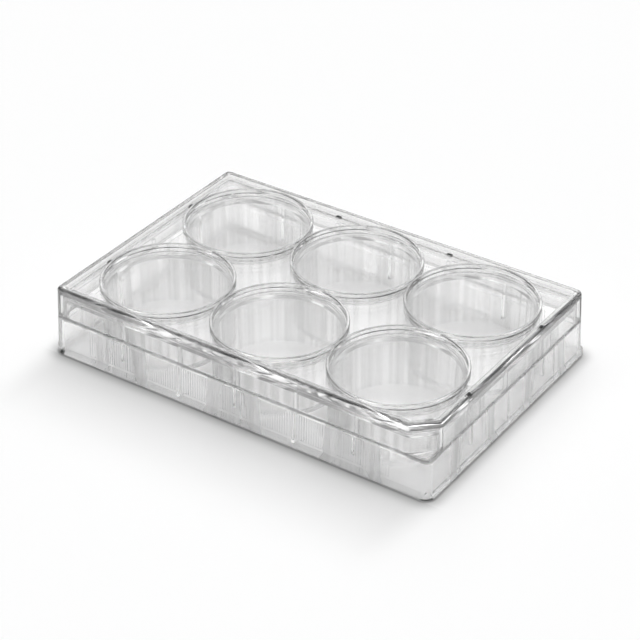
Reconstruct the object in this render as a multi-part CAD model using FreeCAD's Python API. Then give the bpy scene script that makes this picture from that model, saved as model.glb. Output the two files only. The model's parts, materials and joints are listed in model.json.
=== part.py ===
import FreeCAD
import Part
import math
import os

# Six-well culture plate with its lid on. Millimetres. The origin is on the resting plane,
# under the middle of the footprint; X is the long way, Y the short way and Z up.
# The two mouldings are cut from the same drafted outline, so that their sides run flush.

# outline of both mouldings
footprintLength = 127.76
footprintWidth = 85.47
footCorner = 3.2          # rounding of the near corners of the foot
farFootCorner = 1.2       # the two far corners are tighter
sideCorner = 1.6          # rounding of the upright edges above the foot
keyCut = 6.2              # leg of the cut corner of the lid, at its top
keyRound = 1.25           # rounding of the two upright edges of the cut
sideDraft = 0.035         # the sides lean in by this much per millimetre of height
flangeHeight = 2.5
flangeBand = 1.0          # the flange is upright up to here and then leans in to the sides
flangeReach = 0.53        # the foot flange stands this far out from the sides
flangeBevel = 0.35

# tray
ledgeHeight = 12.3        # the step that the lid hangs over
ledgeBevel = 0.3
trayWall = 1.25
deckHeight = 17.9
deckThickness = 1.25
brimHeight = 1.0          # upstand around the deck
rimHeight = 1.25          # upstand of each well's mouth
trayBevel = 0.35

# wells
wellColumns = 3
wellRows = 2
endMargin = 5.2           # from the foot's ends in to the wells' square grid
sideMargin = 3.615        # from the foot's long sides in to that grid
cupGap = 1.92             # free space between the mouths of neighbouring cups
wellWall = 0.9
wellTaper = 0.3           # a well's radius is this much smaller at its floor
floorHeight = 2.8         # top of the well floor above the table
floorThickness = 1.3
floorFillet = 0.8
heelRound = 1.4           # rounding under each cup
rimRound = 0.3

# ribs that tie the cups and the sides together
ribThickness = 1.0
ribFoot = 5.0             # ribs at the cups stop this far above the table
buttressFoot = 0.8
buttressReach = 1.1       # how far a buttress stands in from the upper wall

# fine upright ribbing on the two long sides
gripEnd = 12.88           # from the foot's ends to the ribbing
gripPitch = 0.8
gripValley = 0.02         # how far the valleys and the crests stand out from the side
gripCrest = 0.15
gripAboveFlange = 0.9
gripBelowLedge = 1.0

# lid
lidClearance = 0.3        # free height between the wells' rims and the lid's plate
borderHeight = 1.35       # the border and the rings stand this far above the top plate
borderWidth = 1.75
plateThickness = 1.2
lidWall = 1.05
lidGap = 0.3              # free space between the lid's wall and the tray
lidLift = 0.35            # the lid's lower edge ends this far above the ledge
lidBevel = 0.25           # at the outside of that edge
lidRound = 1.1
cornerStep = 0.3          # each inner outline has its corners rounded this much less
ringLap = 0.06            # each ring reaches this far into its neighbours
ringWall = 0.95
ringRound = 0.25
nubWidth = 1.6
nubDepth = 1.0
nubInset = 0.1            # from the bevel of the tray's brim to a nub

sink = 0.4                # how deep a feature is rooted in its neighbour
over = 1.0                # how far a cutting body runs past what it cuts
near = 0.001              # two heights this close are the same

# what follows from the sizes above
spareLength = footprintLength - 2 * endMargin
spareWidth = footprintWidth - 2 * sideMargin
wellPitch = min(spareLength / wellColumns, spareWidth / wellRows)     # the standard 39.12
wellMouthRadius = (wellPitch - cupGap) / 2 - wellWall
wellFloorRadius = wellMouthRadius - wellTaper
ringRadius = wellPitch / 2 + ringLap
brimTop = deckHeight + brimHeight
rimTop = deckHeight + rimHeight
lidUnderside = max(rimTop, brimTop) + lidClearance
overallHeight = lidUnderside + plateThickness + borderHeight
lidFoot = ledgeHeight + lidLift
gripHalfLength = footprintLength / 2 - gripEnd
gripLow = flangeHeight + gripAboveFlange
gripHigh = ledgeHeight - gripBelowLedge

os.makedirs("parts", exist_ok=True)


def sideInset(z):
    # distance from the footprint's edge in to the drafted sides, at height z
    return flangeReach + sideDraft * (z - flangeHeight)


def footprintPoints(inset, z, keyed):
    # corners of the outline, set in from the footprint; one corner is cut if keyed,
    # and the cut face keeps its distance from the others when the outline is offset
    x = footprintLength / 2 - inset
    y = footprintWidth / 2 - inset
    if keyed:
        leg = keyCut - (inset - sideInset(overallHeight)) * (2 - math.sqrt(2))
        flat = [(-x, -y), (x - leg, -y), (x, -y + leg), (x, y), (-x, y)]
    else:
        flat = [(-x, -y), (x, -y), (x, y), (-x, y)]
    return [FreeCAD.Vector(px, py, z) for px, py in flat]


def polygonFace(points):
    return Part.Face(Part.makePolygon(points + points[:1]))


def frustum(low, high):
    # closed solid between two outlines of the same number of corners
    faces = [polygonFace(low[::-1]), polygonFace(high)]
    for i in range(len(low)):
        k = (i + 1) % len(low)
        faces.append(polygonFace([low[i], low[k], high[k], high[i]]))
    shell = Part.makeShell(faces)
    shell.sewShape()
    return Part.Solid(shell)


def uprightEdges(shape, x, y, reach=1.5):
    # edges that run from bottom to top near the given corner
    out = []
    box = shape.BoundBox
    for edge in shape.Edges:
        tall = edge.BoundBox.ZLength > 0.9 * box.ZLength
        centre = edge.BoundBox.Center
        if tall and abs(centre.x - x) < reach and abs(centre.y - y) < reach:
            out.append(edge)
    return out


def draftedBlock(low, high, extra, keyed, radius):
    # a block between two heights whose sides follow the common draft, 'extra' further in
    bottom = footprintPoints(sideInset(low) + extra, low, keyed)
    top = footprintPoints(sideInset(high) + extra, high, keyed)
    block = frustum(bottom, top)
    middles = [(a + b) * 0.5 for a, b in zip(bottom, top)]
    square, cut = [], []
    for i, point in enumerate(middles):
        edges = uprightEdges(block, point.x, point.y)
        (cut if keyed and i in (1, 2) else square).extend(edges)
    block = block.makeFillet(radius, square)
    if cut:
        edges = []
        for point in middles[1:3]:
            edges += uprightEdges(block, point.x, point.y)
        block = block.makeFillet(min(radius, keyRound), edges)
    return block


def flatEdges(shape, z):
    # the level edges at one height
    level = [e for e in shape.Edges if e.BoundBox.ZLength < 2 * near]
    return [e for e in level if abs(e.BoundBox.ZMin - z) < near]


def turned(start, path):
    # turned solid: the path holds (radius, height) points, or a pair of them for an arc
    here = FreeCAD.Vector(start[0], 0, start[1])
    first = here
    edges = []
    for step in path:
        if isinstance(step[0], tuple):
            middle = FreeCAD.Vector(step[0][0], 0, step[0][1])
            after = FreeCAD.Vector(step[1][0], 0, step[1][1])
            edges.append(Part.Arc(here, middle, after).toShape())
        else:
            after = FreeCAD.Vector(step[0], 0, step[1])
            edges.append(Part.LineSegment(here, after).toShape())
        here = after
    edges.append(Part.LineSegment(here, first).toShape())
    face = Part.Face(Part.Wire(edges))
    return face.revolve(FreeCAD.Vector(0, 0, 0), FreeCAD.Vector(0, 0, 1), 360)


def roundTo(centreR, centreZ, radius, middleAngle, endAngle):
    # the arc entry of a turned path, angles in degrees about its centre
    out = []
    for angle in (middleAngle, endAngle):
        a = math.radians(angle)
        out.append((centreR + radius * math.cos(a), centreZ + radius * math.sin(a)))
    return tuple(out)


def wellCentres():
    for row in range(wellRows):
        for column in range(wellColumns):
            x = (column - (wellColumns - 1) / 2) * wellPitch
            y = (row - (wellRows - 1) / 2) * wellPitch
            yield x, y


def atWells(shape):
    return [shape.translated(FreeCAD.Vector(x, y, 0)) for x, y in wellCentres()]


def cupOutside():
    # the closed outer form of one cup, from its heel to the rounded rim
    mouth = wellMouthRadius + wellWall
    heel = wellFloorRadius + wellWall
    low = floorHeight - floorThickness
    return turned((0, low), [
        (heel - heelRound, low),
        roundTo(heel - heelRound, low + heelRound, heelRound, -45, 0),
        (mouth, rimTop - rimRound),
        roundTo(mouth - rimRound, rimTop - rimRound, rimRound, 45, 90),
        (0, rimTop)])


def wellInside():
    # what is taken out of a cup: tapered wall, filleted floor, flared mouth
    return turned((0, floorHeight), [
        (wellFloorRadius - floorFillet, floorHeight),
        roundTo(wellFloorRadius - floorFillet, floorHeight + floorFillet, floorFillet, -45, 0),
        (wellMouthRadius, rimTop - rimRound),
        roundTo(wellMouthRadius + rimRound, rimTop - rimRound, rimRound, 135, 90),
        (wellMouthRadius + rimRound, rimTop + sink),
        (0, rimTop + sink)])


def crossBox(x, y, thickness, low, high, alongX):
    # a thin upright plate from near a cup's middle out past the side of the tray
    if alongX:
        size = (footprintLength, thickness)
        corner = (x if x > 0 else x - footprintLength, y - thickness / 2)
    else:
        size = (thickness, footprintWidth)
        corner = (x - thickness / 2, y if y > 0 else y - footprintWidth)
    return Part.makeBox(size[0], size[1], high - low, FreeCAD.Vector(corner[0], corner[1], low))


def cupRibs():
    # one rib on the outer side of each cup, towards every wall that it faces
    out = []
    endX = (wellColumns - 1) / 2 * wellPitch
    for x, y in wellCentres():
        out.append(crossBox(x, y, ribThickness, ribFoot, deckHeight, False))
        if abs(abs(x) - endX) < near:
            out.append(crossBox(x, y, ribThickness, ribFoot, deckHeight, True))
    return out


def buttresses():
    # short uprights on the walls half way between neighbouring cups
    out = []
    wallInset = sideInset(ledgeHeight) + lidWall + lidGap + trayWall
    nearX = footprintLength / 2 - wallInset - buttressReach
    nearY = footprintWidth / 2 - wallInset - buttressReach
    for side in (-1, 1):
        for column in range(wellColumns - 1):
            x = (column - (wellColumns - 2) / 2) * wellPitch
            out.append(crossBox(x, side * nearY, ribThickness, buttressFoot, deckHeight, False))
        for row in range(wellRows - 1):
            y = (row - (wellRows - 2) / 2) * wellPitch
            out.append(crossBox(side * nearX, y, ribThickness, buttressFoot, deckHeight, True))
    return out


def gripComb(side):
    # a comb of fine ridges, rooted in the side wall and leaning with it
    count = int(round(2 * gripHalfLength / gripPitch))
    pitch = 2 * gripHalfLength / count
    face = footprintWidth / 2 - sideInset(gripLow)
    points = [(gripHalfLength, face - sink), (-gripHalfLength, face - sink)]
    for i in range(count):
        x = -gripHalfLength + i * pitch
        points += [(x, face + gripValley), (x + pitch / 2, face + gripCrest)]
    points.append((gripHalfLength, face + gripValley))
    corners = [FreeCAD.Vector(px, side * py, gripLow) for px, py in points]
    rise = gripHigh - gripLow
    return polygonFace(corners).extrude(FreeCAD.Vector(0, -side * sideDraft * rise, rise))


def flangeFoot():
    # an upright band that flares out from the sides; its top is buried in them
    top = flangeHeight + sink
    foot = polygonFace(footprintPoints(0, 0, False)).extrude(FreeCAD.Vector(0, 0, top))
    x, y = footprintLength / 2, footprintWidth / 2
    foot = foot.makeFillet(footCorner, uprightEdges(foot, -x, -y) + uprightEdges(foot, x, -y))
    foot = foot.makeFillet(farFootCorner, uprightEdges(foot, -x, y) + uprightEdges(foot, x, y))
    slope = flangeReach / (flangeHeight - flangeBand)
    ends = [footprintPoints(slope * (z - flangeBand), z, False) for z in (-over, top + over)]
    foot = foot.common(frustum(ends[0], ends[1]))
    return foot.makeChamfer(flangeBevel, flatEdges(foot, 0))


def trayUpper():
    # drafted body above the ledge, with a bevelled top edge
    low = ledgeHeight - trayWall / 2
    upper = draftedBlock(low, brimTop, lidWall + lidGap, True, sideCorner)
    return upper.makeChamfer(trayBevel, flatEdges(upper, brimTop))


def trayHollow():
    # the open underside: a wide part inside the skirt and a narrower one above it
    roof = ledgeHeight - trayWall
    wide = draftedBlock(-over, roof, trayWall, False, sideCorner)
    step = lidWall + lidGap + trayWall
    narrow = draftedBlock(roof - sink, deckHeight - deckThickness, step, True, sideCorner)
    return wide.fuse(narrow)


def makeTray():
    skirt = draftedBlock(flangeHeight - sink, ledgeHeight, 0, False, sideCorner)
    skirt = skirt.makeChamfer(ledgeBevel, flatEdges(skirt, ledgeHeight))
    body = flangeFoot().fuse([skirt, trayUpper()])
    step = lidWall + lidGap + trayWall
    body = body.cut(draftedBlock(deckHeight, brimTop + sink, step, True, sideCorner))
    cups = atWells(cupOutside())
    kept = cups[0].fuse(cups[1:] + cupRibs() + buttresses())
    hollow = trayHollow().cut(kept)
    tray = body.cut(hollow).fuse(cups)
    tray = tray.cut(atWells(wellInside()))
    tray = tray.fuse([gripComb(-1), gripComb(1)])
    return tray.removeSplitter()


def lidRing():
    inner = ringRadius - ringWall
    low = overallHeight - borderHeight - sink
    bend = overallHeight - ringRound
    return turned((inner, low), [
        (ringRadius, low),
        (ringRadius, bend),
        roundTo(ringRadius - ringRound, bend, ringRound, 45, 90),
        (inner + ringRound, overallHeight),
        roundTo(inner + ringRound, bend, ringRound, 135, 180)])


def lidNubs():
    # stand-offs under the plate: the lid rests with them on the tray's brim
    out = []
    reach = sideInset(brimTop) + lidWall + lidGap + trayBevel
    x = footprintLength / 2 - reach - nubInset - nubDepth / 2
    y = footprintWidth / 2 - reach - nubInset - nubDepth / 2
    places = []
    for side in (-1, 1):
        for column in range(wellColumns - 1):
            places.append(((column - (wellColumns - 2) / 2) * wellPitch, side * y, nubWidth, nubDepth))
        for row in range(wellRows):
            places.append((side * x, (row - (wellRows - 1) / 2) * wellPitch, nubDepth, nubWidth))
    for px, py, sx, sy in places:
        corner = FreeCAD.Vector(px - sx / 2, py - sy / 2, brimTop)
        out.append(Part.makeBox(sx, sy, lidUnderside + sink - brimTop, corner))
    return out


def makeLid():
    shell = draftedBlock(lidFoot, overallHeight, 0, True, sideCorner)
    edgeRound = min(lidRound, 0.9 * min(sideCorner, keyRound))
    shell = shell.makeFillet(edgeRound, flatEdges(shell, overallHeight))
    shell = shell.makeChamfer(lidBevel, flatEdges(shell, lidFoot))
    inner = sideCorner - cornerStep
    shell = shell.cut(draftedBlock(lidFoot - over, lidUnderside, lidWall, True, inner))
    low = overallHeight - borderHeight
    inner = inner - cornerStep
    shell = shell.cut(draftedBlock(low, overallHeight + over, borderWidth, True, inner))
    lid = shell.fuse(atWells(lidRing()) + lidNubs())
    return lid.removeSplitter()


tray = makeTray()
lid = makeLid()
for name, shape in (("well_tray", tray), ("lid", lid)):
    solids = shape.Solids
    print(name, "solids", len(solids), "valid", shape.isValid(), "volume", round(shape.Volume, 1))
    print("   box", [round(v, 3) for v in (shape.BoundBox.XMin, shape.BoundBox.XMax, shape.BoundBox.YMin,
                                            shape.BoundBox.YMax, shape.BoundBox.ZMin, shape.BoundBox.ZMax)])
    (solids[0] if len(solids) == 1 else shape).exportStep("parts/" + name + ".step")
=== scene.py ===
import bmesh
import bpy
import json
import math
from mathutils import Matrix, Vector


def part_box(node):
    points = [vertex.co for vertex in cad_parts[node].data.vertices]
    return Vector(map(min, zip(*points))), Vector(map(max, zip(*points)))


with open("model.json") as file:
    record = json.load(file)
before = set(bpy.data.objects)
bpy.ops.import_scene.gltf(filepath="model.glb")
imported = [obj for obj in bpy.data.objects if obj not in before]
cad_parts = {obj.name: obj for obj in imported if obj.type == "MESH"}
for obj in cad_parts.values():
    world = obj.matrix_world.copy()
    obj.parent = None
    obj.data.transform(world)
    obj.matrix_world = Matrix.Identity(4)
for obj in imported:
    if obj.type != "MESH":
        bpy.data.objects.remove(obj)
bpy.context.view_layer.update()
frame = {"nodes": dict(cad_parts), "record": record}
scene = bpy.context.scene
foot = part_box("well_tray")[1]
lidLow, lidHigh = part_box("lid")
print("frame loaded:", ", ".join(sorted(frame["nodes"])))


class Wire:
    # a socket of a shader graph; a sum written on it adds the Math nodes
    def __init__(self, tree, socket=None):
        self.tree = tree
        self.socket = socket

    def add(self, kind, settings=None, values=None, output=0):
        made = self.tree.nodes.new("ShaderNode" + kind)
        for name, value in (settings or {}).items():
            setattr(made, name, value)
        for name, value in (values or {}).items():
            if isinstance(value, Wire):
                self.tree.links.new(value.socket, made.inputs[name])
            else:
                made.inputs[name].default_value = value
        return Wire(self.tree, made.outputs[output] if made.outputs else None)

    def maths(self, operation, first, second=0.0):
        return self.add("Math", {"operation": operation}, {0: first, 1: second})

    def __add__(self, other):
        return self.maths("ADD", self, other)

    def __radd__(self, other):
        return self.maths("ADD", other, self)

    def __sub__(self, other):
        return self.maths("SUBTRACT", self, other)

    def __rsub__(self, other):
        return self.maths("SUBTRACT", other, self)

    def __mul__(self, other):
        return self.maths("MULTIPLY", self, other)

    def __rmul__(self, other):
        return self.maths("MULTIPLY", other, self)

    def highest(self, other):
        return self.maths("MAXIMUM", self, other)

    def lowest(self, other):
        return self.maths("MINIMUM", self, other)

    def above(self, limit):
        return self.maths("GREATER_THAN", self, limit)

    def below(self, limit):
        return self.maths("LESS_THAN", self, limit)

    def size(self):
        return self.maths("ABSOLUTE", self)

    def rounded(self):
        return self.maths("ROUND", self)

    def root(self):
        return self.maths("SQRT", self)


def newMaterial(name):
    material = bpy.data.materials.new(name)
    material.use_nodes = True
    material.node_tree.nodes.clear()
    return material, Wire(material.node_tree)


def finish(graph, shader, kind="Material"):
    graph.add("Output" + kind, None, {"Surface": shader})


def axis(graph, place, name):
    return graph.add("SeparateXYZ", None, {"Vector": place}, name)


def ramp(graph, value, fromValue, toValue, low, high):
    return graph.add("MapRange", {"interpolation_type": "SMOOTHSTEP"}, {
        "Value": value, "From Min": fromValue, "From Max": toValue, "To Min": low, "To Max": high})


def mixed(mask, low, high):
    # low where the mask is 0 and high where it is 1
    return mask * (high - low) + low


def noise(graph, place, pattern):
    scale, detail = pattern
    return graph.add("TexNoise", None, {"Vector": place, "Scale": scale, "Detail": detail})


def bump(graph, height, depth, before=None):
    values = {"Strength": 1.0, "Distance": depth, "Height": height}
    if before:
        values["Normal"] = before
    return graph.add("Bump", None, values)


# both mouldings: clear, colourless polystyrene, a little handled; a pattern is (scale, detail)
clearPlastic = {
    "ior": 1.59,
    "roughness": (0.015, 0.05),
    "smudges": (60.0, 3.0),
    "waves": (90.0, 1.0),
    "waveDepth": 0.00001,
}


def handledSurface(graph, place, settings):
    low, high = settings["roughness"]
    roughness = mixed(noise(graph, place, settings["smudges"]), low, high)
    return roughness, bump(graph, noise(graph, place, settings["waves"]), settings["waveDepth"])


def closePlastic(graph, settings, tint, roughness, normal):
    shader = graph.add("BsdfPrincipled", None, {
        "Base Color": tint, "Roughness": roughness, "IOR": settings["ior"],
        "Transmission Weight": 1.0, "Normal": normal})
    finish(graph, shader)


# the lid's plate and wall look greyer than its raised border and rings
lidShades = {
    "tint": 0.86,
    "reliefTint": 0.98,
    "reliefDepth": 0.0012,
}


def lidMaterial(settings, shades):
    material, graph = newMaterial("lidPlastic")
    place = graph.add("TexCoord", None, None, "Object")
    roughness, normal = handledSurface(graph, place, settings)
    relief = axis(graph, place, "Z").above(lidHigh.z - shades["reliefDepth"])
    tint = mixed(relief, shades["tint"], shades["reliefTint"])
    closePlastic(graph, settings, tint, roughness, normal)
    return material


def wellPitch(decimals=5):
    # from the openings that the record names for the wells; equal middles are one column
    openings = frame["record"]["physics"]["openings"]
    boxes = [opening["box_m"] for opening in openings if opening["name"].startswith("well")]
    middles = sorted({round((low[0] + high[0]) / 2, decimals) for low, high in boxes})
    return middles[1] - middles[0]


# the cups' walls carry upright flow marks and a slight bloom, different in each well, and upright bands
# of painted light and shade in their tint in place of refracted streaks
cupWall = {
    "pitch": wellPitch(),
    "rowOffset": 0.5,
    "radii": (0.0171, 0.0188),
    "cellStep": 3.7,
    "bands": (9.0, 2.0),
    "bandEdges": (0.35, 0.65),
    "bandTint": (0.99, 0.78),
    "bandBloom": (0.16, 0.22),
    "broadMarks": (6.0, 1.0),
    "broadDepth": 0.0004,
    "fineMarks": (40.0, 2.0),
    "fineDepth": 0.00005,
    "restTint": 0.99,
}


def cupMarks(graph, place, settings):
    # direction from the middle of the nearest well, moved on for each well, and its wall's mask
    pitch, offset, step = settings["pitch"], settings["rowOffset"], settings["cellStep"]
    x = axis(graph, place, "X")
    y = axis(graph, place, "Y")
    column = (x * (1 / pitch)).rounded()
    row = (y * (1 / pitch) + offset).rounded()
    arm = graph.add("CombineXYZ", None, {"X": x - column * pitch, "Y": y - (row - offset) * pitch})
    radius = graph.add("VectorMath", {"operation": "LENGTH"}, {0: arm}, "Value")
    unit = graph.add("VectorMath", {"operation": "NORMALIZE"}, {0: arm})
    cell = graph.add("CombineXYZ", None, {"X": column * step, "Y": row * step})
    direction = graph.add("VectorMath", {"operation": "ADD"}, {0: unit, 1: cell})
    low, high = settings["radii"]
    return direction, radius.above(low) * radius.below(high)


# the skirt is a little frosted, and the ledge above it carries a band of painted shade
sideWalls = {
    "wallInset": 0.0023,
    "lidGap": 0.00035,
    "skirtDrop": 0.0001,
    "skirtFrost": 0.22,
    "bandReach": (-0.0004, 0.0001),
    "ledgeTint": 0.45,
}


def sideMarks(graph, place, settings):
    # masks of the skirt and of the band of painted shade at the ledge that the lid hangs over
    x = axis(graph, place, "X")
    y = axis(graph, place, "Y")
    z = axis(graph, place, "Z")
    longSide = y.size().above(foot.y - settings["wallInset"])
    outer = longSide.highest(x.size().above(foot.x - settings["wallInset"]))
    ledge = lidLow.z - settings["lidGap"]
    low, high = settings["bandReach"]
    ledgeShade = outer * z.above(ledge + low) * z.below(ledge + high)
    return outer * z.below(ledge - settings["skirtDrop"]), ledgeShade


def trayMaterial(settings, cups, sides):
    material, graph = newMaterial("trayPlastic")
    place = graph.add("TexCoord", None, None, "Object")
    roughness, normal = handledSurface(graph, place, settings)
    direction, wall = cupMarks(graph, place, cups)
    normal = bump(graph, noise(graph, direction, cups["broadMarks"]) * wall, cups["broadDepth"], normal)
    normal = bump(graph, noise(graph, direction, cups["fineMarks"]) * wall, cups["fineDepth"], normal)
    bands = ramp(graph, noise(graph, direction, cups["bands"]), *cups["bandEdges"], 0.0, 1.0)
    skirt, ledgeShade = sideMarks(graph, place, sides)
    roughness = roughness + wall * mixed(bands, *cups["bandBloom"]) + skirt * sides["skirtFrost"]
    # the cups' walls get bands of painted light and shade; the rest of the tray keeps its plain tint
    tint = (1.0 - wall) * cups["restTint"] + wall * mixed(bands, *cups["bandTint"])
    # a band of painted shade darkens the tint at the ledge that the lid hangs over
    tint = tint * (1.0 - ledgeShade * (1.0 - sides["ledgeTint"]))
    closePlastic(graph, settings, tint, roughness, normal)
    return material


def dress(nodeName, material):
    node = frame["nodes"][nodeName]
    node.data.materials.clear()
    node.data.materials.append(material)


dress("well_tray", trayMaterial(clearPlastic, cupWall, sideWalls))
dress("lid", lidMaterial(clearPlastic, lidShades))
print("plastic given to both mouldings")

# pale table, with painted shade along the plate's foot and a little under it, and a painted shadow in
# front of it
table = {
    "half": 3.0,
    "colour": 0.97,
    "corner": 0.0032,
    "crease": 0.5,
    "creaseReach": 0.0005,
    "contact": 0.37,
    "contactReach": 0.0026,
    "contactInside": 0.0008,
    "front": 0.2,
    "frontReach": 0.038,
    "frontEnd": 0.006,
    "under": 0.06,
    "underEdges": (-0.016, -0.008),
}


def footDistance(graph, x, y, corner):
    # signed distance to the rounded outline of the plate's foot, negative under the plate
    pastX = x.size() - (foot.x - corner)
    pastY = y.size() - (foot.y - corner)
    outX = pastX.highest(0.0)
    outY = pastY.highest(0.0)
    return (outX * outX + outY * outY).root() + pastX.highest(pastY).lowest(0.0) - corner


def bell(graph, distance, reach):
    scaled = distance * (1 / reach)
    return graph.maths("POWER", math.e, scaled * scaled * -1.0)


def tableTop(settings):
    material, graph = newMaterial("tableTop")
    place = graph.add("TexCoord", None, None, "Object")
    x = axis(graph, place, "X")
    y = axis(graph, place, "Y")
    distance = footDistance(graph, x, y, settings["corner"])
    # painted shade and shadow on the table: a dark crease line and a contact shadow along the foot, a
    # little shade under the plate's rim, and a soft shadow in front of it
    outside = ramp(graph, distance, -settings["contactInside"], 0.0, 0.0, 1.0)
    contact = bell(graph, distance, settings["contactReach"]) * outside * settings["contact"]
    crease = bell(graph, distance, settings["creaseReach"]) * settings["crease"]
    under = ramp(graph, distance, *settings["underEdges"], 0.0, settings["under"])
    ahead = -foot.y - y
    front = ramp(graph, ahead, 0.0, settings["frontReach"], settings["front"], 0.0) * ahead.above(0.0)
    beside = x.size() - foot.x
    ends = ramp(graph, beside, -settings["frontEnd"], settings["frontEnd"], 1.0, 0.0)
    shade = settings["colour"]
    for darker in (crease, contact, under * (1.0 - outside), front * ends):
        shade = (1.0 - darker) * shade
    finish(graph, graph.add("BsdfDiffuse", None, {"Color": shade}))
    return material


def makeTable(settings):
    mesh = bpy.data.meshes.new("table")
    form = bmesh.new()
    bmesh.ops.create_grid(form, x_segments=1, y_segments=1, size=settings["half"])
    form.to_mesh(mesh)
    form.free()
    top = bpy.data.objects.new("table", mesh)
    scene.collection.objects.link(top)
    mesh.materials.append(tableTop(settings))


makeTable(table)

# light from overhead that leans to the back, dim lower down, and a narrow fill that the flat tops mirror
studio = {
    "low": 0.1,
    "high": 2.363,
    "heights": (0.58, 0.97),
    "lean": 0.8,
    "back": (-0.562, 0.827, 0.0),
    "fill": 1.5,
    "fillAxis": (-0.4713, 0.6936, 0.5446),
    "fillEdges": (0.97, 0.99),
    "backdrop": 1.0,
}


def towards(graph, place, direction):
    return graph.add("VectorMath", {"operation": "DOT_PRODUCT"}, {0: place, 1: direction}, "Value")


def makeWorld(settings):
    world = bpy.data.worlds.new("studio")
    scene.world = world
    world.use_nodes = True
    world.node_tree.nodes.clear()
    world.cycles.sampling_method = "NONE"
    graph = Wire(world.node_tree)
    place = graph.add("TexCoord", None, None, "Generated")
    height = axis(graph, place, "Z")
    rise = ramp(graph, height, *settings["heights"], settings["low"], settings["high"])
    lean = 1 + towards(graph, place, settings["back"]) * settings["lean"]
    toFill = towards(graph, place, settings["fillAxis"])
    fill = ramp(graph, toFill, *settings["fillEdges"], 0.0, settings["fill"])
    seen = graph.add("LightPath", None, None, "Is Camera Ray")
    strength = graph.add("Mix", {"data_type": "FLOAT"}, {
        0: seen, 2: rise * lean + fill, 3: settings["backdrop"]})
    shader = graph.add("Background", None, {"Color": (1, 1, 1, 1), "Strength": strength})
    finish(graph, shader, "World")


makeWorld(studio)
print("table and light in place")

# where the viewer stands, in metres, degrees and millimetres of lens and sensor
viewer = {
    "azimuth": 34.21,
    "elevation": 33.11,
    "distance": 0.6057,
    "target": (0.0, 0.0, 0.0113),
    "aside": 0.00024,
    "above": -0.00002,
    "lens": 118.65,
    "sensor": 36.0,
}


def makeCamera(settings):
    a = math.radians(settings["azimuth"])
    e = math.radians(settings["elevation"])
    back = Vector((math.sin(a) * math.cos(e), -math.cos(a) * math.cos(e), math.sin(e)))
    right = Vector((math.cos(a), math.sin(a), 0))
    up = back.cross(right)
    aim = Vector(settings["target"]) + right * settings["aside"] + up * settings["above"]
    data = bpy.data.cameras.new("viewer")
    data.lens = settings["lens"]
    data.sensor_width = settings["sensor"]
    camera = bpy.data.objects.new("viewer", data)
    scene.collection.objects.link(camera)
    turn = Matrix((right, up, back)).transposed().to_4x4()
    camera.matrix_world = Matrix.Translation(aim + back * settings["distance"]) @ turn
    scene.camera = camera


makeCamera(viewer)

# clear walls behind clear walls: light passes many faces before it leaves
lightSteps = 40
scene.cycles.max_bounces = lightSteps
scene.cycles.transmission_bounces = lightSteps
scene.cycles.glossy_bounces = lightSteps
scene.cycles.transparent_max_bounces = lightSteps
scene.cycles.blur_glossy = 0.0
scene.view_settings.view_transform = "Standard"
print("camera set")
